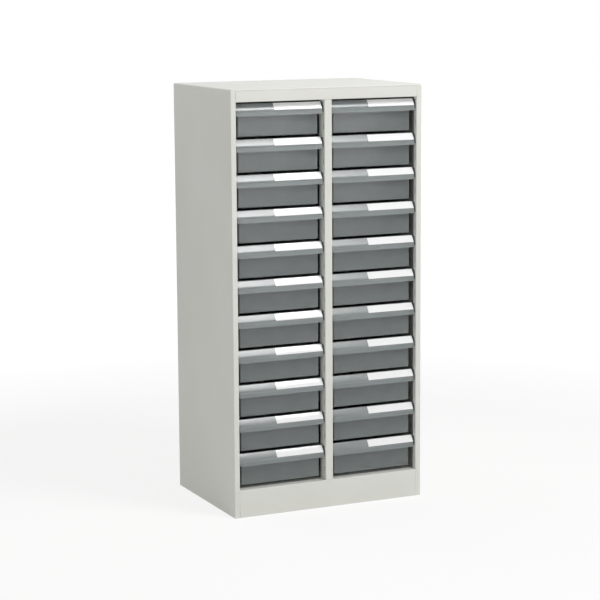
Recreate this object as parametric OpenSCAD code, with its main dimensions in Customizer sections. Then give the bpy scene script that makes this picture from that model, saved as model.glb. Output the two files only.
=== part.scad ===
// Document storage cabinet: a painted sheet steel carcass that holds two columns of
// moulded drawers. Each drawer hangs by its runners in a pair of steel rails, and the
// rails hook into slotted posts. Sizes are in millimetres. X runs to the right, Y to
// the back and Z up, and the origin lies on the floor under the cabinet's middle.

/* [Drawer grid] */
// Number of drawers in each column
rows = 11; // [4:1:11]
// Height from one drawer to the next
row_pitch = 89.8; // [88:0.1:120]
// Clear width of a column between its posts
column_w = 245; // [235:1:330]
// Free height under the lowest drawer
under_gap = 9; // [4:0.5:30]
// Free height over the top drawer
over_gap = 4.5; // [4:0.5:30]

/* [Carcass] */
// Overall depth, with the screw heads at the back
cabinet_d = 390; // [370:1:460]
// Thickness of the steel sheet
sheet = 0.8; // [0.6:0.1:1.2]
// Outer radius of the bends in the sheet
bend_r = 1.8; // [1.4:0.1:2.4]
// Width of the side panel's front face
jamb_w = 14.5; // [10:0.5:25]
// Depth of the flange that turns in behind that face
jamb_return = 15; // [13:0.5:28]
// Width of the side panel's flanges at the back
rear_flange_w = 15; // [13:0.5:25]
// Height of the front header, with the top panel's edge
header_h = 32.5; // [20:0.5:60]
// Depth of the header's lower flange
header_return = 25; // [15:1:60]
// Height of the top panel's turned down edge
top_edge_h = 4; // [3.5:0.5:6]
// Outer radius along the top panel's edge
top_edge_r = 2.6; // [1.4:0.1:3]
// Height of the plinth
plinth_h = 72.5; // [64:0.5:120]
// Depth of the plinth's foot flange
plinth_foot = 12; // [8:0.5:14]
// Overlap of the plinth's upper flange over the floor panel
floor_lap = 15; // [8:1:30]
// Height of the floor panel's side flanges
floor_flange_h = 20; // [10:1:22]

/* [Posts] */
// Width of the centre post's front face
post_w = 21; // [18:0.5:40]
// Depth of the centre post
post_d = 33; // [20:1:60]
// Depth of the posts at the back
rear_post_d = 30; // [20:1:60]
// Height of a rail slot
slot_h = 15; // [12:0.5:18]
// Width of a rail slot
slot_w = 3.5; // [2.4:0.1:4]
// Distance from a post's front to the middle of its slots
slot_inset = 7; // [6:0.5:10]
// Distance from a drawer's top down to the middle of its slot
slot_drop = 19; // [17:0.5:21]

/* [Rails] */
// Thickness of the rail steel
rail_t = 1; // [0.8:0.1:1.2]
// Outer radius of the rail's bends
rail_bend_r = 1.5; // [1.3:0.1:2]
// Width of the rail's flanges
rail_leg = 9; // [8:0.25:9.25]
// Running clearance between rails and drawers
running_gap = 0.3; // [0.2:0.05:0.5]
// Reach of the rail's hooks into the slots
hook_l = 3; // [2:0.25:5]
// Height of the rail's hooks
hook_h = 9; // [6:0.5:11]
// Width that the rail's front stop adds to its lower flange
stop_w = 1.9; // [1.6:0.05:2]
// Length of the rail's front stop
stop_l = 4; // [2:0.5:8]

/* [Drawers] */
// Travel of a drawer from shut to its stop
travel = 290; // [150:1:310]
// Space between a post and the drawer's side
side_gap = 11.5; // [11.2:0.1:12]
// Height of a drawer
tray_h = 83.5; // [60:0.5:86]
// Wall thickness of the moulding
wall = 2; // [1.6:0.1:2.2]
// Corner radius of the drawer box, seen from above
tray_corner_r = 3; // [2.4:0.1:6]
// Distance of the drawer's face behind the cabinet's front
tray_front = 18; // [17:0.5:22]
// Free depth behind the drawers
rear_gap = 24; // [22:1:60]
// Distance from the drawer's top down to its rim and runners
rim_drop = 2; // [1.5:0.1:3]
// Width of the runner outside the drawer's wall
runner_w = 8; // [7.5:0.1:8.5]
// Height of the runner
runner_h = 9; // [6:0.5:11]
// Width of the nib that meets the rail's stop
nib_w = 1.7; // [1.5:0.05:1.9]
// Length of that nib
nib_l = 5; // [3:0.5:10]

/* [Handle lips and labels] */
// Distance of the lip's lowest edge behind the cabinet's front
lip_front = 5.5; // [3:0.5:9]
// Distance of the lip's top edge behind the cabinet's front
lip_top = 17.5; // [14:0.25:18]
// Height of the lip's slanted panel
slope_h = 18; // [14:0.5:24]
// Height of the skirt under the slanted panel
skirt_h = 13; // [6:0.5:20]
// Outer radius along the lip's top
lip_r = 2.4; // [2.3:0.1:3]
// Outer radius of the bend between the slanted panel and the skirt
lip_bend_r = 10; // [2.4:0.2:12]
// Length of the label card
label_l = 133; // [60:1:200]
// Thickness of the label card
label_t = 0.5; // [0.3:0.05:0.6]
// Depth of the pocket that holds the card
pocket_t = 0.6; // [0.6:0.05:1]
// Plain edge round the card
label_edge = 0.6; // [0.4:0.1:2]
// Clearance between the card and its pocket
card_gap = 0.15; // [0.05:0.05:0.5]

/* [Base and fasteners] */
// Radius of a glide's pad
glide_r = 14; // [10:0.5:18]
// Thickness of a glide's pad
glide_pad_h = 5; // [3:0.5:8]
// Radius of a glide's pin
glide_pin_r = 4; // [3:0.5:5]
// Height of a foot bracket's plate above the floor
bracket_z = 14; // [9:0.5:20]
// Length and width of a foot bracket's plate
bracket_l = 40; // [36:1:50]
// Height of a foot bracket's upright
bracket_h = 24; // [12:1:28]
// Thickness of a foot bracket
bracket_t = 1.6; // [1.2:0.1:2.5]
// Number of screws down each side of the back panel
screw_count = 6; // [3:1:10]
// Distance of the end screws from the back panel's ends
screw_end = 50; // [20:1:100]
// Radius of a screw's shank
screw_r = 2; // [1.5:0.1:2.5]
// Radius of a screw's head
screw_head_r = 4; // [3.2:0.1:4.6]
// Height of a screw's head
screw_head_h = 1.5; // [1:0.1:2.5]
// Length of a screw under its head
screw_l = 8; // [4:0.5:12]
// Radial clearance of a screw or pin in its hole
hole_gap = 0.1; // [0.05:0.05:0.3]

/* [Hidden] */
SIDES = ["left", "right"];
TWO = [0, 1];
paint = [0.85, 0.85, 0.82];
smoke = [0.44, 0.47, 0.47];
card_white = [0.98, 0.98, 0.98];
zinc = [0.62, 0.64, 0.65];
glide_grey = [0.25, 0.25, 0.26];
bend_steps = 5;
corner_steps = 4;
$fn = 48;
cut = 1;

cabinet_w = 2 * jamb_w + 2 * column_w + post_w;
header_z = plinth_h + under_gap + (rows - 1) * row_pitch + tray_h + over_gap;
cabinet_h = header_z + header_h;
half_w = cabinet_w / 2;
front_y = -cabinet_d / 2;
back_y = cabinet_d / 2 - screw_head_h;
flange_y = back_y - sheet;
inside_y = flange_y - sheet;
body_top = cabinet_h - top_edge_h;
floor_top = plinth_h - sheet;
floor_front = front_y + jamb_return;
floor_back = inside_y - bend_r;
slot_pitch = row_pitch / 2;

tray_w = column_w - 2 * side_gap;
tray_l = cabinet_d - tray_front - rear_gap;
tray_rim = tray_h - rim_drop;
lip_w = tray_w + 2 * runner_w;
slope_run = lip_top - lip_front;
slope_l = norm([slope_run, slope_h]);
lean = atan2(slope_run, slope_h);
label_right = lip_w / 2 - label_edge;

rail_front = front_y + tray_front + wall + running_gap;
rail_back = inside_y - running_gap;
rail_top = tray_rim + running_gap + rail_t;
rail_h = runner_h + 2 * running_gap + 2 * rail_t;
front_slot_y = front_y + slot_inset;
rear_slot_y = inside_y - rear_post_d + slot_inset;
nib_y = tray_front + wall + 2 * running_gap + stop_l + travel;

function column_x(side) = (2 * side - 1) * (column_w + post_w) / 2;
function tray_z(row) = plinth_h + under_gap + (rows - 1 - row) * row_pitch;
function slot_z(row, n) = tray_z(row) + tray_h - slot_drop - n * slot_pitch;
function piece_name(kind, side, row) = str(kind, "_", SIDES[side], row < 9 ? "_0" : "_", row + 1);

FIXED = [
    "side_panel_left", "side_panel_right", "top_panel", "front_header", "back_panel",
    "floor_panel", "plinth", "centre_post", "rear_posts", "rails_left_outer",
    "rails_left_inner", "rails_right_inner", "rails_right_outer", "foot_brackets",
    "corner_glides", "back_screws"
];

// Bent sheet: a path is a list of [x, y, bend radius], and the sheet lies to its left
function place(p) = [p[0], p[1]];
function unit(v) = v / norm(v);
function left_of(v) = [-v[1], v[0]];
function reversed(list) = [for (i = [len(list) - 1 : -1 : 0]) list[i]];

function arc(corner, into, out, r, offset) =
    let (
        turn = sign(cross(into, out)),
        angle = acos(into * out),
        centre = corner - into * r * tan(angle / 2) + turn * r * left_of(into),
        start = atan2(into[1], into[0])
    )
    [
        for (k = [0 : bend_steps])
            let (heading = start + turn * angle * k / bend_steps)
            centre - turn * (r - turn * offset) * left_of([cos(heading), sin(heading)])
    ];

function strip_edge(path, offset) =
    let (last = len(path) - 1)
    [
        for (i = [0 : last])
            let (
                here = place(path[i]),
                into = unit(i > 0 ? here - place(path[i - 1]) : place(path[1]) - here),
                out = i < last ? unit(place(path[i + 1]) - here) : into
            )
            each i == 0 || i == last
                ? [here + offset * left_of(into)]
                : arc(here, into, out, path[i][2], offset)
    ];

module strip(path, thickness) {
    polygon(concat(strip_edge(path, 0), reversed(strip_edge(path, thickness))));
}

// A flat outline drawn in X and Z becomes a bar along Y
module along_y(length) {
    translate([0, length, 0]) rotate([90, 0, 0]) linear_extrude(length) children();
}

// A flat outline drawn in Y and Z becomes a bar along X
module along_x(length) {
    rotate([90, 0, 90]) linear_extrude(length) children();
}

// Draws its children on the left and mirrored on the right, or on one side only
module on_side(side) {
    if (side == 0)
        children();
    else
        mirror([1, 0, 0]) children();
}

// The slots in a post's wall that stands in the plane x, at the depth y
module slot_cuts(x, y) {
    for (row = [0 : rows - 1], n = TWO)
        translate([x, y, slot_z(row, n)])
            cube([4 * sheet, slot_w, slot_h], center = true);
}

// Places its children at the back panel's screws, with +Z pointing into the cabinet
module screw_places() {
    step = (body_top - 2 * screw_end) / (screw_count - 1);
    for (side = [-1, 1], n = [0 : screw_count - 1])
        translate([side * (half_w - rear_flange_w / 2), back_y, screw_end + n * step])
            rotate([90, 0, 0]) children();
}

module screw_hole() {
    translate([0, 0, -cut]) cylinder(h = 2 * sheet + 2 * cut, r = screw_r + hole_gap);
}

// Side panels
module side_panel(side) {
    outline = [
        [-half_w + rear_flange_w, flange_y, 0],
        [-half_w, flange_y, bend_r],
        [-half_w, front_y, bend_r],
        [-half_w + jamb_w, front_y, bend_r],
        [-half_w + jamb_w, front_y + jamb_return, 0]
    ];
    color(paint) on_side(side) difference() {
        union() {
            linear_extrude(body_top) strip(outline, sheet);
            translate([-half_w + sheet / 2, front_y + sheet, body_top - sheet])
                cube([jamb_w - 1.5 * sheet, inside_y - front_y - sheet, sheet]);
        }
        slot_cuts(-half_w + jamb_w - sheet / 2, front_slot_y);
        screw_places() screw_hole();
    }
}

// Top panel
module rounded_bar(width, height, r) {
    strip_points = strip_edge([
        [width / 2, 0, 0], [width / 2, height, r], [-width / 2, height, r], [-width / 2, 0, 0]
    ], 0);
    polygon(strip_points);
}

module top_block(inset, height, r) {
    w = cabinet_w - 2 * inset;
    d = back_y - front_y - 2 * inset;
    middle_y = (front_y + back_y) / 2;
    intersection() {
        translate([0, front_y + inset, body_top]) along_y(d) rounded_bar(w, height, r);
        translate([-w / 2, middle_y, body_top]) along_x(w) rounded_bar(d, height, r);
    }
}

module top_panel() {
    color(paint) difference() {
        top_block(0, top_edge_h, top_edge_r);
        translate([0, 0, -cut])
            top_block(sheet, top_edge_h - sheet + cut, top_edge_r - sheet);
    }
}

// Front header between the side panels
module front_header() {
    path = [
        [front_y + jamb_return, body_top, 0],
        [front_y, body_top, bend_r],
        [front_y, header_z, bend_r],
        [front_y + header_return, header_z, 0]
    ];
    length = cabinet_w - 2 * jamb_w;
    color(paint) translate([-length / 2, 0, 0]) along_x(length) strip(path, sheet);
}

// Plinth between the side panels
module plinth() {
    path = [
        [floor_front + floor_lap, plinth_h, 0],
        [front_y, plinth_h, bend_r],
        [front_y, 0, bend_r],
        [front_y + plinth_foot, 0, 0]
    ];
    length = cabinet_w - 2 * jamb_w;
    color(paint) translate([-length / 2, 0, 0]) along_x(length) strip(path, sheet);
}

// Floor panel under the lowest drawers
module floor_panel() {
    half = half_w - sheet;
    path = [
        [half, floor_top - floor_flange_h, 0],
        [half, floor_top, bend_r],
        [-half, floor_top, bend_r],
        [-half, floor_top - floor_flange_h, 0]
    ];
    color(paint) translate([0, floor_front, 0]) along_y(floor_back - floor_front) strip(path, sheet);
}

// Back panel, screwed onto the side panels' rear flanges
module back_panel() {
    half = half_w - bend_r;
    color(paint) difference() {
        translate([-half, flange_y, 0]) cube([2 * half, sheet, body_top]);
        screw_places() screw_hole();
    }
}

module back_screws() {
    color(zinc) screw_places() {
        translate([0, 0, -screw_head_h]) cylinder(h = screw_head_h, r = screw_head_r);
        cylinder(h = screw_l, r = screw_r);
    }
}

// Centre post between the two columns
module centre_post() {
    half = post_w / 2;
    path = [
        [-half, front_y + post_d, 0],
        [-half, front_y, bend_r],
        [half, front_y, bend_r],
        [half, front_y + post_d, 0]
    ];
    color(paint) difference() {
        translate([0, 0, plinth_h]) linear_extrude(header_z - plinth_h) strip(path, sheet);
        for (side = [-1, 1])
            slot_cuts(side * (half - sheet / 2), front_slot_y);
    }
}

// Slotted posts at the back, one in each rear corner and one in the middle. The corner posts'
// outer legs stop short of the bend in the side panel
module rear_post(left, left_back, right, right_back) {
    face_y = inside_y - rear_post_d;
    path = [
        [left, left_back, 0],
        [left, face_y, bend_r],
        [right, face_y, bend_r],
        [right, right_back, 0]
    ];
    translate([0, 0, floor_top]) linear_extrude(body_top - sheet - floor_top) strip(path, sheet);
}

module rear_posts() {
    half = post_w / 2;
    inner = -half_w + jamb_w;
    color(paint) {
        for (side = TWO)
            on_side(side) difference() {
                rear_post(-half_w + sheet, inside_y - bend_r, inner, inside_y);
                slot_cuts(inner - sheet / 2, rear_slot_y);
            }
        difference() {
            rear_post(-half, flange_y, half, flange_y);
            for (side = [-1, 1])
                slot_cuts(side * (half - sheet / 2), rear_slot_y);
        }
    }
}

// A rail on the post face x = 0, with its channel open to +X; z = 0 is the drawer's underside
module rail_hook(slot_y, ear_front, ear_back) {
    hook_z = tray_h - slot_drop - slot_h / 2;
    translate([0, ear_front, hook_z])
        cube([rail_t, ear_back - ear_front, rail_top - rail_bend_r - hook_z]);
    translate([-hook_l, slot_y - rail_t / 2, hook_z])
        cube([hook_l + rail_t, rail_t, hook_h]);
}

module rail() {
    ear_l = 2 * slot_w;
    path = [
        [rail_leg, rail_top, 0],
        [0, rail_top, rail_bend_r],
        [0, rail_top - rail_h, rail_bend_r],
        [rail_leg, rail_top - rail_h, 0]
    ];
    translate([0, rail_front, 0]) along_y(rail_back - rail_front) strip(path, rail_t);
    rail_hook(front_slot_y, front_slot_y - rail_t / 2, rail_front + ear_l);
    rail_hook(rear_slot_y, rear_slot_y - ear_l, rear_slot_y + rail_t / 2);
    translate([rail_leg - rail_t, rail_front, rail_top - rail_h])
        cube([rail_t + stop_w, stop_l, rail_t]);
}

// The rails of one post face, where facing is 1 for a face that looks right and -1 for left
module rails(face_x, facing) {
    color(zinc) for (row = [0 : rows - 1])
        translate([face_x, 0, tray_z(row)]) on_side(facing > 0 ? 0 : 1) rail();
}

// Drawers, each drawn round x = 0 with y = 0 at the cabinet's front and z = 0 at its underside
function corner_points(x, y, r, first) = [
    for (k = [0 : corner_steps])
        let (a = first + 90 * k / corner_steps)
        [x + r * cos(a), y + r * sin(a)]
];

module box_outline(inset) {
    x = tray_w / 2 - tray_corner_r;
    y0 = tray_front + tray_corner_r;
    y1 = tray_front + tray_l - tray_corner_r;
    r = tray_corner_r - inset;
    polygon(concat(
        corner_points(x, y1, r, 0), corner_points(-x, y1, r, 90),
        corner_points(-x, y0, r, 180), corner_points(x, y0, r, 270)
    ));
}

module tray_box() {
    difference() {
        linear_extrude(tray_rim) box_outline(0);
        translate([0, 0, wall]) linear_extrude(tray_h) box_outline(wall);
    }
}

module handle_lip() {
    neck_w = tray_w - 2 * tray_corner_r;
    path = [
        [tray_front + wall, tray_h, 0],
        [lip_top, tray_h, lip_r],
        [lip_front, tray_h - slope_h, lip_bend_r],
        [lip_front, tray_h - slope_h - skirt_h, 0]
    ];
    translate([-lip_w / 2, 0, 0]) along_x(lip_w) strip(path, wall);
    translate([-neck_w / 2, tray_front, tray_rim - wall])
        cube([neck_w, wall, wall + rim_drop / 2]);
}

// Runner, lip end and stop nib of the drawer's right side
module tray_side() {
    inner = tray_w / 2 - wall / 2;
    outer = lip_w / 2;
    low = tray_rim - runner_h;
    start = tray_front + wall / 2;
    translate([0, start, 0]) along_y(tray_front + tray_l - start) polygon([
        [inner, tray_rim], [inner, tray_rim - wall], [outer - wall, tray_rim - wall],
        [outer - wall, low], [outer, low], [outer, tray_rim]
    ]);
    translate([outer - wall, 0, 0]) along_x(wall) polygon([
        [tray_front + wall, tray_h - rim_drop / 2], [tray_front, tray_h - rim_drop / 2],
        [lip_front + wall / 2, tray_h - slope_h], [lip_front + wall, tray_h - slope_h - wall],
        [tray_front + wall, low]
    ]);
    translate([tray_w / 2 - wall / 2, nib_y, rail_top - rail_h - rail_t])
        cube([nib_w + wall / 2, nib_l, tray_rim - wall / 2 - (rail_top - rail_h - rail_t)]);
}

// Places its children on the lip's slanted panel: outwards is -Y and downhill is -Z
module on_slope() {
    translate([0, lip_top, tray_h]) rotate([-lean, 0, 0]) children();
}

module drawer(side, row) {
    color(smoke) translate([column_x(side), front_y, tray_z(row)]) difference() {
        union() {
            tray_box();
            handle_lip();
            for (half = TWO)
                on_side(half) tray_side();
        }
        on_slope() translate([label_right - label_l, -cut, label_edge - slope_l])
            cube([label_l, cut + pocket_t, slope_l - 2 * label_edge]);
    }
}

module label(side, row) {
    length = label_l - 2 * card_gap;
    height = slope_l - 2 * label_edge - 2 * card_gap;
    left = label_right - card_gap - length;
    low = -label_edge - card_gap - height;
    color(card_white) translate([column_x(side), front_y, tray_z(row)])
        on_slope() translate([left, pocket_t - label_t, low])
            cube([length, label_t, height]);
}

// Foot brackets and glides in the four corners of the base
module corner_places() {
    for (side = TWO, y = [floor_front + plinth_foot / 2, floor_back - bracket_l])
        on_side(side) translate([-half_w + sheet, y, 0]) children();
}

module foot_brackets() {
    path = [
        [0, bracket_z + bracket_h, 0],
        [0, bracket_z, bend_r + bracket_t],
        [bracket_l, bracket_z, 0]
    ];
    color(zinc) corner_places() difference() {
        along_y(bracket_l) strip(path, bracket_t);
        translate([bracket_l / 2, bracket_l / 2, bracket_z - cut])
            cylinder(h = bracket_t + 2 * cut, r = glide_pin_r + hole_gap);
    }
}

module corner_glides() {
    color(glide_grey) corner_places() translate([bracket_l / 2, bracket_l / 2, 0]) {
        cylinder(h = glide_pad_h, r = glide_r);
        cylinder(h = bracket_z, r = glide_pin_r + bracket_t);
        cylinder(h = bracket_z + 2 * bracket_t, r = glide_pin_r);
        translate([0, 0, bracket_z + bracket_t])
            cylinder(h = bracket_t, r = glide_pin_r + 4 * hole_gap);
    }
}

side_panel(0);  // side_panel_left
side_panel(1);  // side_panel_right
top_panel();
front_header();
back_panel();
floor_panel();
plinth();
centre_post();
rear_posts();
rails(-half_w + jamb_w, 1);  // rails_left_outer
rails(-post_w / 2, -1);  // rails_left_inner
rails(post_w / 2, 1);  // rails_right_inner
rails(half_w - jamb_w, -1);  // rails_right_outer
foot_brackets();
corner_glides();
back_screws();
for (side = TWO, row = [0 : rows - 1])
    drawer(side, row);
for (side = TWO, row = [0 : rows - 1])
    label(side, row);
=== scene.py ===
"""Looks of a document storage cabinet: a painted steel carcass with two columns of smoke-grey drawers.

Places and sizes are in metres in the part's own frame: X to the right, Y to the back, Z up, with the
origin on the floor under the cabinet's middle. The drawers open towards -Y.
"""

import math

import bmesh
import bpy
from mathutils import Matrix, Vector

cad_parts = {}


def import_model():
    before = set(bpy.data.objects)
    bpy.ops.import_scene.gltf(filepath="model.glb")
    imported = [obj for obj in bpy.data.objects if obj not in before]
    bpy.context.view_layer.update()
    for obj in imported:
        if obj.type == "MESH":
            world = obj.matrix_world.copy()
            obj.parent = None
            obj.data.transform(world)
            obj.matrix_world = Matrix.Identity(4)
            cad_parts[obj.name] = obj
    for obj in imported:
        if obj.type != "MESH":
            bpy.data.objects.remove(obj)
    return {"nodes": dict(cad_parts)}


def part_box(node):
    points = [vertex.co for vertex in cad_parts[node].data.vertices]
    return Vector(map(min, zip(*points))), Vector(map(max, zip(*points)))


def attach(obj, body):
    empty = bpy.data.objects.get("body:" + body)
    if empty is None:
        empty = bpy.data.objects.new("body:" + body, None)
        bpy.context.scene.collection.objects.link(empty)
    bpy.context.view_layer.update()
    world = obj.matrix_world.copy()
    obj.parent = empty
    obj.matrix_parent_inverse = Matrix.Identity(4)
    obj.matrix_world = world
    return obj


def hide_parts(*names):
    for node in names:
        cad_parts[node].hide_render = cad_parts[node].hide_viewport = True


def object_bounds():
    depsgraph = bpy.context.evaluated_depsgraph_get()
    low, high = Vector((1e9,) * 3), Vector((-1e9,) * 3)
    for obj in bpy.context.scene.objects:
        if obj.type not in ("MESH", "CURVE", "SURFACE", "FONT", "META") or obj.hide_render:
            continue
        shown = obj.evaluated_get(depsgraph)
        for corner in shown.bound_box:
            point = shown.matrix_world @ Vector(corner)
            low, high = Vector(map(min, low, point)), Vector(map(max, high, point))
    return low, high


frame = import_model()
cad_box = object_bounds()

MM = 0.001
SIDES = ("left", "right")
ROWS = sum(name.startswith("drawer_left_") for name in frame["nodes"])

# Sheet steel
SHEET = 0.8 * MM
BEND_R = 1.8 * MM
BEND_STEPS = 8
JAMB_RETURN = 15 * MM
REAR_FLANGE_W = 15 * MM
HEADER_RETURN = 25 * MM
PLINTH_FOOT = 12 * MM
FLOOR_LAP = 15 * MM
TOP_EDGE_R = 2.6 * MM
SCREW_HEAD_H = 1.5 * MM
SCREW_HOLE_R = 2.1 * MM
SCREW_HOLE_SIDES = 24
SCREW_COUNT = 6
SCREW_END = 50 * MM

# Slots in the posts
SLOT_H = 15 * MM
SLOT_W = 3.5 * MM
SLOT_INSET = 7 * MM
SLOT_DROP = 19 * MM
SLOTS_A_ROW = 2

# Drawers
WALL = 2 * MM
TRAY_FRONT = 18 * MM
TRAY_CORNER_R = 3 * MM
RIM_DROP = 2 * MM
RUNNER_W = 8 * MM
RUNNER_H = 9 * MM
RUNNING_GAP = 0.3 * MM
RAIL_T = 1 * MM
STOP_L = 4 * MM
TRAVEL = 290 * MM
NIB_W = 1.7 * MM
NIB_L = 5 * MM
LIP_TOP = 17.5 * MM
SLOPE_H = 18 * MM
SKIRT_H = 13 * MM
LIP_TOP_R = 2.4 * MM
LIP_BEND_R = 16 * MM
LIP_CROWN = 0.35 * MM
LIP_STEPS = 14
LABEL_EDGE = 0.6 * MM
LABEL_L = 133 * MM
LABEL_END = 21 * MM
LABEL_T = 0.5 * MM
POCKET_T = 0.6 * MM
CARD_GAP = 0.15 * MM

# Colours in sRGB, each slot's from its darker to its lighter tone
PAINT_TONES = ((224, 224, 217), (228, 228, 222))
SMOKE_TONES = ((142, 152, 152), (149, 159, 159))
CARD_TONES = ((246, 246, 246), (250, 250, 250))
ZINC_TONES = ((150, 154, 156), (176, 180, 183))
GLIDE_TONES = ((52, 52, 54), (78, 78, 80))
FLOOR_TONE = (244, 244, 243)

# How far light scatters in the drawers' plastic
SMOKE_SCATTER = 40 * MM

# Camera, set out from the photograph's perspective
CAMERA_PLACE = (-2.1709, -4.6784, 1.3582)
CAMERA_TURN = 24.975
CAMERA_DROP = 9.204
CAMERA_ROLL = -0.35
FOCAL_SHARE = 3.2511
SENSOR = 36

# Floor, which turns white for the camera between two distances from the origin
FLOOR_REACH = 12
FLOOR_WHITE = 1.06
NEAR_WHITE = 0.72
SHADOW_REACH = 1.2
WHITE_REACH = 2.6

# Lamps: a size is a width and a height, and a side is an azimuth, an elevation and a distance
WORLD_LIGHT = 0.385
KEY_PLACE = (0.9, -1.64, 3.05)
KEY_TARGET = (0.4, -0.1, 0.55)
KEY_SIZE = (0.88, 0.93)
KEY_RADIANCE = 14.3
TOP_PLACE = (0, 0.3, 3.6)
TOP_SIZE = (2.4, 2.4)
TOP_RADIANCE = 0.45
FRONT_SIDE = (10, 0, 4)
FRONT_SIZE = (3, 1.2)
FRONT_RADIANCE = 1.7
LEFT_SIDE = (-50, 9, 3.5)
LEFT_SIZE = (2.4, 1.1)
LEFT_RADIANCE = 1.55
REAR_SIDE = (-150, 35, 4)
REAR_SIZE = (2, 2)
REAR_RADIANCE = 1

low, high = cad_box
FRONT = low.y
BACK = high.y - SCREW_HEAD_H
HALF_W = high.x
JAMB_W = HALF_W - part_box("front_header")[1].x
HEADER_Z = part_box("front_header")[0].z
BODY_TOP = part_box("front_header")[1].z
PLINTH_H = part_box("plinth")[1].z
POST_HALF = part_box("centre_post")[1].x
POST_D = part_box("centre_post")[1].y - FRONT
FLANGE_Y = BACK - SHEET
FRONT_MIDDLE = Vector((0, FRONT, high.z / 2))


# Node helpers for materials


def shader(name, **sockets):
    """A new material with one Principled shader, whose sockets are set by name with _ for a space."""
    material = bpy.data.materials.new(name)
    material.use_nodes = True
    principled = material.node_tree.nodes["Principled BSDF"]
    for socket, value in sockets.items():
        principled.inputs[socket.replace("_", " ")].default_value = value
    return material, material.node_tree, principled


def linear(red, green, blue):
    """Linear colour of an sRGB colour given in 0 to 255."""
    def one(value):
        share = value / 255
        return share / 12.92 if share <= 0.04045 else ((share + 0.055) / 1.055) ** 2.4
    return (one(red), one(green), one(blue), 1)


def noise(tree, scale, detail=2.0, roughness=0.5, stretch=(1, 1, 1)):
    """Noise in the part's own coordinates, with its features stretched along the axes."""
    place = tree.nodes.new("ShaderNodeTexCoord")
    mapping = tree.nodes.new("ShaderNodeMapping")
    mapping.inputs["Scale"].default_value = stretch
    texture = tree.nodes.new("ShaderNodeTexNoise")
    texture.inputs["Scale"].default_value = scale
    texture.inputs["Detail"].default_value = detail
    texture.inputs["Roughness"].default_value = roughness
    tree.links.new(place.outputs["Object"], mapping.inputs["Vector"])
    tree.links.new(mapping.outputs["Vector"], texture.inputs["Vector"])
    return texture.outputs["Fac"]


def ranged(tree, source, low_value, high_value, start=0.3, end=0.7):
    """Maps a texture's start to end onto low_value to high_value."""
    node = tree.nodes.new("ShaderNodeMapRange")
    node.inputs["From Min"].default_value = start
    node.inputs["From Max"].default_value = end
    node.inputs["To Min"].default_value = low_value
    node.inputs["To Max"].default_value = high_value
    tree.links.new(source, node.inputs["Value"])
    return node.outputs["Result"]


def tinted(tree, principled, factor, tones):
    """Sets the shader's colour between a slot's two tones."""
    node = tree.nodes.new("ShaderNodeMix")
    node.data_type = "RGBA"
    node.inputs["A"].default_value = linear(*tones[0])
    node.inputs["B"].default_value = linear(*tones[1])
    tree.links.new(factor, node.inputs["Factor"])
    tree.links.new(node.outputs["Result"], principled.inputs["Base Color"])


def bumped(tree, principled, *layers):
    """Stacks bump layers, each (height source, distance in metres), on the shader's normal."""
    normal = None
    for height, distance in layers:
        node = tree.nodes.new("ShaderNodeBump")
        node.inputs["Distance"].default_value = distance
        tree.links.new(height, node.inputs["Height"])
        if normal:
            tree.links.new(normal, node.inputs["Normal"])
        normal = node.outputs["Normal"]
    tree.links.new(normal, principled.inputs["Normal"])


# Materials


def painted_steel():
    """Off-white baked enamel: a faint orange peel and cloudiness on a satin surface."""
    material, tree, principled = shader("painted_steel", IOR=1.5)
    cloud = ranged(tree, noise(tree, scale=5, detail=3), 0, 1)
    tinted(tree, principled, cloud, PAINT_TONES)
    rough = ranged(tree, noise(tree, scale=40, detail=3), 0.36, 0.46)
    tree.links.new(rough, principled.inputs["Roughness"])
    peel = noise(tree, scale=700, detail=1)
    waves = noise(tree, scale=9)
    bumped(tree, principled, (peel, 0.02 * MM), (waves, 0.1 * MM))
    return material


def smoke_plastic():
    """Smoke-grey moulded styrene: glossy and faintly translucent, with slow waves and a soft haze."""
    material, tree, principled = shader(
        "smoke_plastic", IOR=1.58, Subsurface_Weight=1.0,
        Subsurface_Scale=SMOKE_SCATTER, Subsurface_Radius=(1, 1, 1),
    )
    cloud = ranged(tree, noise(tree, scale=14, detail=3), 0, 1)
    tinted(tree, principled, cloud, SMOKE_TONES)
    rough = ranged(tree, noise(tree, scale=14, detail=1), 0.24, 0.26)
    tree.links.new(rough, principled.inputs["Roughness"])
    waves = noise(tree, scale=9, detail=1)
    grain = noise(tree, scale=900, detail=1)
    bumped(tree, principled, (waves, 0.1 * MM), (grain, 0.002 * MM))
    return material


def label_card():
    """White card under a clear glossy film, with a trace of paper fibre."""
    material, tree, principled = shader(
        "label_card", Roughness=0.6, Coat_Weight=1.0, Coat_Roughness=0.06, Coat_IOR=1.5
    )
    fibre = ranged(tree, noise(tree, scale=1500, detail=4, stretch=(0.4, 1, 1)), 0, 1)
    tinted(tree, principled, fibre, CARD_TONES)
    bumped(tree, principled, (noise(tree, scale=800, detail=3), 0.005 * MM))
    return material


def zinc_steel():
    """Zinc-plated steel with a faint spangle and drawing lines along the rails."""
    material, tree, principled = shader("zinc_steel", Metallic=1.0)
    spangle = ranged(tree, noise(tree, scale=120, detail=2), 0, 1)
    tinted(tree, principled, spangle, ZINC_TONES)
    rough = ranged(tree, noise(tree, scale=200, stretch=(1, 0.04, 1)), 0.32, 0.5)
    tree.links.new(rough, principled.inputs["Roughness"])
    bumped(tree, principled, (noise(tree, scale=600, stretch=(1, 0.02, 1)), 0.01 * MM))
    return material


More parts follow.
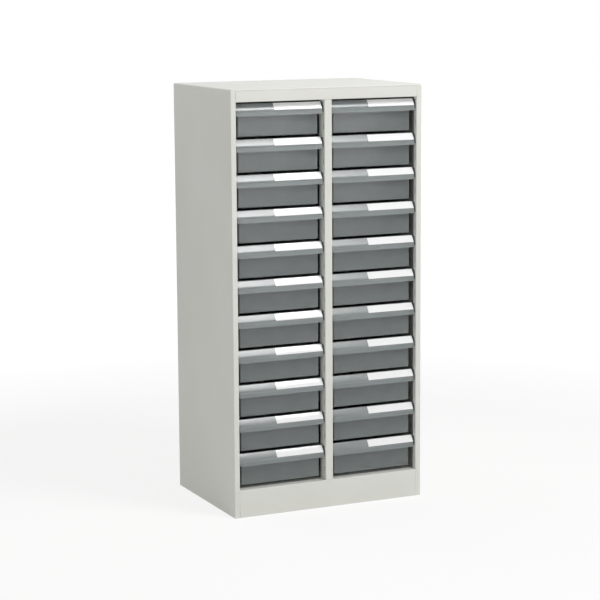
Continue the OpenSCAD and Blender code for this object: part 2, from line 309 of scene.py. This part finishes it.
def glide_plastic():
    """Dark moulded polyethylene with a fine spark-eroded grain and scuffs."""
    material, tree, principled = shader("glide_plastic", IOR=1.5)
    scuff = ranged(tree, noise(tree, scale=90, detail=5, roughness=0.7), 0, 1, start=0.5, end=0.75)
    tinted(tree, principled, scuff, GLIDE_TONES)
    rough = ranged(tree, scuff, 0.5, 0.7, start=0, end=1)
    tree.links.new(rough, principled.inputs["Roughness"])
    bumped(tree, principled, (noise(tree, scale=2500, detail=1), 0.02 * MM))
    return material


PAINT = painted_steel()
SMOKE = smoke_plastic()
CARD = label_card()
ZINC = zinc_steel()
GLIDE = glide_plastic()


# Geometry helpers


def left_of(v):
    """The vector turned a quarter turn to the left."""
    return Vector((-v[1], v[0]))


def bend(corner, into, out, r, offset, steps):
    """Points round a bend of radius r, at offset to the left of the path."""
    turn = 1 if into[0] * out[1] - into[1] * out[0] > 0 else -1
    angle = math.acos(max(-1, min(1, into.dot(out))))
    centre = corner - into * r * math.tan(angle / 2) + turn * r * left_of(into)
    start = math.atan2(into[1], into[0])
    headings = [start + turn * angle * k / steps for k in range(steps + 1)]
    return [centre - turn * (r - turn * offset) * left_of((math.cos(h), math.sin(h))) for h in headings]


def strip_edge(path, offset, steps=BEND_STEPS):
    """One edge of a bent sheet. The path holds (x, y, bend radius), and offset is to its left."""
    places = [Vector(p[:2]) for p in path]
    runs = [(b - a).normalized() for a, b in zip(places, places[1:])]
    points = [places[0] + offset * left_of(runs[0])]
    for i, (into, out) in enumerate(zip(runs, runs[1:]), start=1):
        points += bend(places[i], into, out, path[i][2], offset, steps)
    return points + [places[-1] + offset * left_of(runs[-1])]


def strip(path, thickness):
    """Outline of a bent sheet that lies to the left of its path."""
    return strip_edge(path, 0) + strip_edge(path, thickness)[::-1]


AXES = {
    "x": lambda u, v, w: (w, u, v),
    "y": lambda u, v, w: (u, w, v),
    "z": lambda u, v, w: (u, v, w),
}


def prism(outline, axis, start, end):
    """A bmesh bar of that outline from start to end along an axis."""
    bm = bmesh.new()
    place = AXES[axis]
    ends = [[bm.verts.new(place(u, v, w)) for u, v in outline] for w in (start, end)]
    bm.faces.new(ends[0])
    bm.faces.new(ends[1])
    for i in range(len(outline)):
        j = (i + 1) % len(outline)
        bm.faces.new((ends[0][i], ends[0][j], ends[1][j], ends[1][i]))
    bmesh.ops.recalc_face_normals(bm, faces=bm.faces)
    return bm


def block(lowest, highest, r=0.0, rounded=lambda edge: True, steps=5):
    """A bmesh box from lowest to highest, with radius r on the edges that rounded picks."""
    bm = bmesh.new()
    bmesh.ops.create_cube(bm, size=1)
    size = Vector(highest) - Vector(lowest)
    middle = (Vector(highest) + Vector(lowest)) / 2
    bmesh.ops.transform(bm, matrix=Matrix.LocRotScale(middle, None, size), verts=bm.verts)
    if r:
        edges = [e for e in bm.edges if rounded(e)]
        bmesh.ops.bevel(bm, geom=edges, offset=r, segments=steps, profile=0.5, affect="EDGES")
    return bm


def mesh_of(bm, name):
    mesh = bpy.data.meshes.new(name)
    bm.to_mesh(mesh)
    bm.free()
    return mesh


def new_object(name, mesh):
    thing = bpy.data.objects.new(name, mesh)
    bpy.context.scene.collection.objects.link(thing)
    return thing


def combined(base, others, operation):
    """The mesh of bmesh base after a union or difference with each of the others."""
    thing = new_object("work", mesh_of(base, "work"))
    tools = [new_object("tool", mesh_of(other, "tool")) for other in others]
    for tool in tools:
        modifier = thing.modifiers.new("shape", "BOOLEAN")
        modifier.operation = operation
        modifier.solver = "EXACT"
        modifier.object = tool
    done = bpy.data.meshes.new_from_object(thing.evaluated_get(bpy.context.evaluated_depsgraph_get()))
    for used in [thing] + tools:
        bpy.data.objects.remove(used)
    return done


def as_bmesh(mesh):
    bm = bmesh.new()
    bm.from_mesh(mesh)
    bpy.data.meshes.remove(mesh)
    return bm


def joined(parts):
    """One bmesh that holds all the parts as they are."""
    bm = bmesh.new()
    for part in parts:
        bm.from_mesh(mesh_of(part, "part"))
    return bm


def finished(mesh, material, smooth_angle=32):
    """Sets a mesh's material, and its smooth faces with sharp edges above an angle."""
    mesh.materials.clear()
    mesh.materials.append(material)
    for polygon in mesh.polygons:
        polygon.use_smooth = True
        polygon.material_index = 0
    mesh.set_sharp_from_angle(angle=math.radians(smooth_angle))
    return mesh


def add_piece(name, mesh, body, node):
    """Puts a finished mesh in the scene, in place of a CAD node."""
    piece = new_object(name, mesh)
    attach(piece, body)
    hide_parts(node)
    return piece


# Carcass


def slot_heights():
    """Middle heights of the slots in a post, from the drawers' places."""
    tops = [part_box(f"drawer_left_{row + 1:02d}")[1].z for row in range(ROWS)]
    pitch = tops[0] - tops[1]
    return [top - SLOT_DROP - n * pitch / SLOTS_A_ROW for top in tops for n in range(SLOTS_A_ROW)]


def slot_cutters(x):
    """Boxes that cut the slots through a post's wall at x."""
    y = FRONT + SLOT_INSET
    reach = Vector((2 * SHEET, SLOT_W / 2, SLOT_H / 2))
    places = [Vector((x, y, z)) for z in slot_heights()]
    return joined([block(p - reach, p + reach) for p in places])


def screw_cutters(x):
    """Cylinders that cut the screw holes through a side panel's rear flange."""
    step = (BODY_TOP - 2 * SCREW_END) / (SCREW_COUNT - 1)
    bm = bmesh.new()
    for n in range(SCREW_COUNT):
        middle = Matrix.Translation((x, FLANGE_Y, SCREW_END + n * step))
        bmesh.ops.create_cone(
            bm, cap_ends=True, segments=SCREW_HOLE_SIDES, radius1=SCREW_HOLE_R, radius2=SCREW_HOLE_R,
            depth=6 * SHEET, matrix=middle @ Matrix.Rotation(math.pi / 2, 4, "X"),
        )
    return bm


def mirrored(bm):
    """Turns a bmesh into its mirror image, left to right."""
    bmesh.ops.scale(bm, vec=(-1, 1, 1), verts=bm.verts)
    bmesh.ops.reverse_faces(bm, faces=bm.faces)
    return bm


def side_panel(side):
    """A side panel with its front jamb, slotted return, rear flange and top flange."""
    path = [
        (-HALF_W + REAR_FLANGE_W, FLANGE_Y, 0),
        (-HALF_W, FLANGE_Y, BEND_R),
        (-HALF_W, FRONT, BEND_R),
        (-HALF_W + JAMB_W, FRONT, BEND_R),
        (-HALF_W + JAMB_W, FRONT + JAMB_RETURN, 0),
    ]
    body = prism(strip(path, SHEET), "z", 0, BODY_TOP)
    flange = block(
        (-HALF_W + SHEET / 2, FRONT + SHEET, BODY_TOP - SHEET),
        (-HALF_W + JAMB_W - SHEET, FLANGE_Y - SHEET, BODY_TOP),
    )
    cutters = [slot_cutters(-HALF_W + JAMB_W - SHEET / 2), screw_cutters(-HALF_W + REAR_FLANGE_W / 2)]
    body = as_bmesh(combined(body, [flange], "UNION"))
    body = as_bmesh(combined(body, cutters, "DIFFERENCE"))
    if side == "right":
        mirrored(body)
    mesh = finished(mesh_of(body, f"side_panel_{side}"), PAINT)
    add_piece(f"painted_side_panel_{side}", mesh, "cabinet", f"side_panel_{side}")


def front_header():
    path = [
        (FRONT + JAMB_RETURN, BODY_TOP, 0),
        (FRONT, BODY_TOP, BEND_R),
        (FRONT, HEADER_Z, BEND_R),
        (FRONT + HEADER_RETURN, HEADER_Z, 0),
    ]
    reach = HALF_W - JAMB_W
    mesh = finished(mesh_of(prism(strip(path, SHEET), "x", -reach, reach), "front_header"), PAINT)
    add_piece("painted_front_header", mesh, "cabinet", "front_header")


def plinth():
    path = [
        (FRONT + JAMB_RETURN + FLOOR_LAP, PLINTH_H, 0),
        (FRONT, PLINTH_H, BEND_R),
        (FRONT, 0, BEND_R),
        (FRONT + PLINTH_FOOT, 0, 0),
    ]
    reach = HALF_W - JAMB_W
    mesh = finished(mesh_of(prism(strip(path, SHEET), "x", -reach, reach), "plinth"), PAINT)
    add_piece("painted_plinth", mesh, "cabinet", "plinth")


def centre_post():
    path = [
        (-POST_HALF, FRONT + POST_D, 0),
        (-POST_HALF, FRONT, BEND_R),
        (POST_HALF, FRONT, BEND_R),
        (POST_HALF, FRONT + POST_D, 0),
    ]
    body = prism(strip(path, SHEET), "z", PLINTH_H, HEADER_Z)
    cutters = [slot_cutters(x * (POST_HALF - SHEET / 2)) for x in (-1, 1)]
    mesh = finished(combined(body, cutters, "DIFFERENCE"), PAINT)
    add_piece("painted_centre_post", mesh, "cabinet", "centre_post")


def top_panel():
    """The top: a shallow pan with rounded edges, upside down on the carcass."""
    def rounded(edge):
        a, b = (v.co for v in edge.verts)
        return max(a.z, b.z) > BODY_TOP + SHEET
    outer = block((-HALF_W, FRONT, BODY_TOP), (HALF_W, BACK, high.z), TOP_EDGE_R, rounded)
    inner = block(
        (-HALF_W + SHEET, FRONT + SHEET, BODY_TOP - SHEET),
        (HALF_W - SHEET, BACK - SHEET, high.z - SHEET),
        TOP_EDGE_R - SHEET, rounded,
    )
    mesh = finished(combined(outer, [inner], "DIFFERENCE"), PAINT)
    add_piece("painted_top_panel", mesh, "cabinet", "top_panel")


def carcass():
    for side in SIDES:
        side_panel(side)
    front_header()
    plinth()
    centre_post()
    top_panel()


# Drawers, made once round x = 0, with y = 0 at the cabinet's front and z = 0 at the drawer's underside


def drawer_sizes():
    lowest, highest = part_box("drawer_left_01")
    lip_w = highest.x - lowest.x
    return {
        "lip_w": lip_w,
        "tray_w": lip_w - 2 * RUNNER_W,
        "height": highest.z - lowest.z,
        "lip_front": lowest.y - FRONT,
        "back": highest.y - FRONT,
    }


def tray_box(s):
    """The drawer's open box, with rounded upright and bottom edges inside and out."""
    half, rim = s["tray_w"] / 2, s["height"] - RIM_DROP

    def rounded(edge):
        a, b = (v.co for v in edge.verts)
        return min(a.z, b.z) < rim / 2
    outer = block((-half, TRAY_FRONT, 0), (half, s["back"], rim), TRAY_CORNER_R, rounded)
    inner = block(
        (-half + WALL, TRAY_FRONT + WALL, WALL), (half - WALL, s["back"] - WALL, 2 * rim),
        TRAY_CORNER_R - WALL, rounded,
    )
    return combined(outer, [inner], "DIFFERENCE")


def lip_path(s):
    """The lip from its neck over the slightly crowned slope to the skirt's lower edge."""
    top = s["height"]
    edge, knee = Vector((LIP_TOP, top)), Vector((s["lip_front"], top - SLOPE_H))
    length = (knee - edge).length
    middle = (edge + knee) / 2 - LIP_CROWN * left_of((knee - edge).normalized())
    crown_turn = 4 * LIP_CROWN / length
    return [
        (TRAY_FRONT + WALL, top, 0),
        (*edge, LIP_TOP_R),
        (*middle, length / 4 / math.tan(crown_turn / 2)),
        (*knee, LIP_BEND_R),
        (s["lip_front"], top - SLOPE_H - SKIRT_H, 0),
    ]


def lip_band(s, start, end, inner, outer):
    """Outline of a band on the lip's face, between two distances down it and two depths under it."""
    face, deep, proud = (strip_edge(lip_path(s), depth, LIP_STEPS) for depth in (0, inner, outer))
    runs = [-(face[0] - Vector((LIP_TOP, s["height"]))).length]
    for a, b in zip(face, face[1:]):
        runs.append(runs[-1] + (b - a).length)

    def beside(edge, run):
        after = next(i for i, reached in enumerate(runs) if reached >= run)
        share = (run - runs[after - 1]) / (runs[after] - runs[after - 1])
        return edge[after - 1].lerp(edge[after], share)
    stops = [start] + [run for run in runs if start < run < end] + [end]
    return [beside(deep, run) for run in stops] + [beside(proud, run) for run in reversed(stops)]


def runner_parts(s, side):
    """The runner, the stop nib and the lip's end plate on one side of the drawer."""
    rim = s["height"] - RIM_DROP
    inner, outer, foot = s["tray_w"] / 2 - WALL / 2, s["lip_w"] / 2, rim - RUNNER_H
    nib_y = TRAY_FRONT + WALL + 2 * RUNNING_GAP + STOP_L + TRAVEL
    nib_z = foot - RUNNING_GAP - 2 * RAIL_T
    nib = block((inner, nib_y, nib_z), (inner + NIB_W + WALL / 2, nib_y + NIB_L, rim - WALL / 2))
    runner = prism([
        (inner, rim), (inner, rim - WALL), (outer - WALL, rim - WALL),
        (outer - WALL, foot), (outer, foot), (outer, rim),
    ], "y", TRAY_FRONT + WALL / 2, s["back"])
    end = prism([
        (TRAY_FRONT + WALL, s["height"] - RIM_DROP / 2), (TRAY_FRONT, s["height"] - RIM_DROP / 2),
        (s["lip_front"] + WALL / 2, s["height"] - SLOPE_H),
        (s["lip_front"] + WALL, s["height"] - SLOPE_H - WALL),
        (TRAY_FRONT + WALL, foot),
    ], "x", outer - WALL, outer)
    parts = [runner, end, nib]
    if side == "left":
        parts = [mirrored(part) for part in parts]
    return parts


def drawer_mesh():
    """The whole moulding: tray, lip, neck and runners in one, with the label's pocket cut in."""
    s = drawer_sizes()
    lip_edges = [strip_edge(lip_path(s), offset, LIP_STEPS) for offset in (0, WALL)]
    lip = prism(lip_edges[0] + lip_edges[1][::-1], "x", -s["lip_w"] / 2, s["lip_w"] / 2)
    neck_half = s["tray_w"] / 2 - TRAY_CORNER_R
    neck = block(
        (-neck_half, TRAY_FRONT, s["height"] - RIM_DROP - WALL),
        (neck_half, TRAY_FRONT + WALL, s["height"] - RIM_DROP / 2),
    )
    parts = [lip, neck] + [part for side in SIDES for part in runner_parts(s, side)]
    body = as_bmesh(combined(as_bmesh(tray_box(s)), parts, "UNION"))
    right = s["lip_w"] / 2 - LABEL_EDGE
    pocket = prism(lip_band(s, LABEL_EDGE, LABEL_END, POCKET_T, -POCKET_T), "x", right - LABEL_L, right)
    return finished(combined(body, [pocket], "DIFFERENCE"), SMOKE)


def label_mesh():
    """The card in the lip's pocket, which follows the lip's curve."""
    s = drawer_sizes()
    right = s["lip_w"] / 2 - LABEL_EDGE - CARD_GAP
    left = right - LABEL_L + 2 * CARD_GAP
    band = lip_band(s, LABEL_EDGE + CARD_GAP, LABEL_END - CARD_GAP, POCKET_T, POCKET_T - LABEL_T)
    return finished(mesh_of(prism(band, "x", left, right), "label_card"), CARD)


def drawers():
    drawer, label = drawer_mesh(), label_mesh()
    for side in SIDES:
        for row in range(1, ROWS + 1):
            node, tag = f"drawer_{side}_{row:02d}", f"label_{side}_{row:02d}"
            lowest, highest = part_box(node)
            place = Vector(((lowest.x + highest.x) / 2, FRONT, lowest.z))
            for name, mesh, replaced, slot in (
                (f"moulded_{node}", drawer, node, "drawer_plastic"),
                (f"card_{tag}", label, tag, "label_card"),
            ):
                piece = new_object(name, mesh)
                piece.location = place
                bpy.context.view_layer.update()
                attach(piece, node)
                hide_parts(replaced)


def dress_frame():
    """Gives the CAD nodes that stay their finish."""
    finishes = {
        "back_panel": PAINT, "floor_panel": PAINT, "rear_posts": PAINT,
        "foot_brackets": ZINC, "corner_glides": GLIDE, "back_screws": ZINC,
    }
    for name, thing in frame["nodes"].items():
        material = ZINC if name.startswith("rails_") else finishes.get(name)
        if material:
            thing.data.materials.clear()
            thing.data.materials.append(material)


# Stage, lights and camera


def seen_white(tree, surface):
    """Mixes a surface with white for the camera's rays: partly near the object, fully far from it."""
    place = tree.nodes.new("ShaderNodeTexCoord")
    distance = tree.nodes.new("ShaderNodeVectorMath")
    distance.operation = "LENGTH"
    tree.links.new(place.outputs["Object"], distance.inputs[0])
    share = ranged(tree, distance.outputs["Value"], NEAR_WHITE, 1, SHADOW_REACH, WHITE_REACH)
    path = tree.nodes.new("ShaderNodeLightPath")
    scale = tree.nodes.new("ShaderNodeMath")
    scale.operation = "MULTIPLY"
    white = tree.nodes.new("ShaderNodeEmission")
    white.inputs["Strength"].default_value = FLOOR_WHITE
    mix = tree.nodes.new("ShaderNodeMixShader")
    tree.links.new(path.outputs["Is Camera Ray"], scale.inputs[0])
    tree.links.new(share, scale.inputs[1])
    tree.links.new(scale.outputs[0], mix.inputs["Fac"])
    tree.links.new(surface, mix.inputs[1])
    tree.links.new(white.outputs[0], mix.inputs[2])
    tree.links.new(mix.outputs[0], tree.nodes["Material Output"].inputs["Surface"])


def floor():
    bm = bmesh.new()
    bmesh.ops.create_grid(bm, x_segments=1, y_segments=1, size=FLOOR_REACH)
    thing = new_object("floor", mesh_of(bm, "floor"))
    material, tree, principled = shader(
        "floor", Base_Color=linear(*FLOOR_TONE), Roughness=0.9, Specular_IOR_Level=0.1
    )
    seen_white(tree, principled.outputs[0])
    thing.data.materials.append(material)


def world():
    """Even light from all round, which the camera and reflections see as white."""
    sky = bpy.data.worlds.new("world")
    bpy.context.scene.world = sky
    sky.use_nodes = True
    tree = sky.node_tree
    background = tree.nodes["Background"]
    background.inputs["Color"].default_value = (1, 1, 1, 1)
    path = tree.nodes.new("ShaderNodeLightPath")
    seen = path.outputs["Is Camera Ray"]
    for ray in ("Is Glossy Ray", "Is Transmission Ray"):
        most = tree.nodes.new("ShaderNodeMath")
        most.operation = "MAXIMUM"
        tree.links.new(seen, most.inputs[0])
        tree.links.new(path.outputs[ray], most.inputs[1])
        seen = most.outputs[0]
    strength = tree.nodes.new("ShaderNodeMapRange")
    strength.inputs["To Min"].default_value = WORLD_LIGHT
    strength.inputs["To Max"].default_value = 1.0
    tree.links.new(seen, strength.inputs["Value"])
    tree.links.new(strength.outputs["Result"], background.inputs["Strength"])


def softbox(name, place, target, size, radiance):
    """An area light of an even radiance, turned to its target."""
    data = bpy.data.lights.new(name, "AREA")
    data.shape = "RECTANGLE"
    data.size, data.size_y = size
    data.energy = radiance * math.pi * size[0] * size[1]
    lamp = bpy.data.objects.new(name, data)
    bpy.context.scene.collection.objects.link(lamp)
    lamp.location = place
    lamp.rotation_mode = "QUATERNION"
    lamp.rotation_quaternion = (Vector(target) - Vector(place)).to_track_quat("-Z", "Y")
    lamp.visible_camera = False


def from_middle(azimuth, elevation, distance):
    """A place at a distance from the front's middle; azimuth 0 lies straight before the front."""
    a, e = math.radians(azimuth), math.radians(elevation)
    heading = Vector((math.sin(a) * math.cos(e), -math.cos(a) * math.cos(e), math.sin(e)))
    return FRONT_MIDDLE + distance * heading


def lights():
    world()
    softbox("key", KEY_PLACE, KEY_TARGET, KEY_SIZE, KEY_RADIANCE)
    softbox("top_fill", TOP_PLACE, FRONT_MIDDLE, TOP_SIZE, TOP_RADIANCE)
    softbox("front_fill", from_middle(*FRONT_SIDE), FRONT_MIDDLE, FRONT_SIZE, FRONT_RADIANCE)
    softbox("left_fill", from_middle(*LEFT_SIDE), FRONT_MIDDLE, LEFT_SIZE, LEFT_RADIANCE)
    softbox("rear_fill", from_middle(*REAR_SIDE), FRONT_MIDDLE, REAR_SIZE, REAR_RADIANCE)


def camera():
    data = bpy.data.cameras.new("camera")
    data.sensor_width = SENSOR
    data.lens = SENSOR * FOCAL_SHARE
    thing = bpy.data.objects.new("camera", data)
    bpy.context.scene.collection.objects.link(thing)
    thing.location = CAMERA_PLACE
    turn, drop, roll = (math.radians(a) for a in (-CAMERA_TURN, 90 - CAMERA_DROP, CAMERA_ROLL))
    aim = Matrix.Rotation(turn, 3, "Z") @ Matrix.Rotation(drop, 3, "X")
    thing.rotation_euler = (aim @ Matrix.Rotation(roll, 3, "Z")).to_euler()
    bpy.context.scene.camera = thing


camera()
carcass()
drawers()
dress_frame()
floor()
lights()
bpy.context.scene.view_settings.view_transform = "Standard"

bpy.context.view_layer.update()
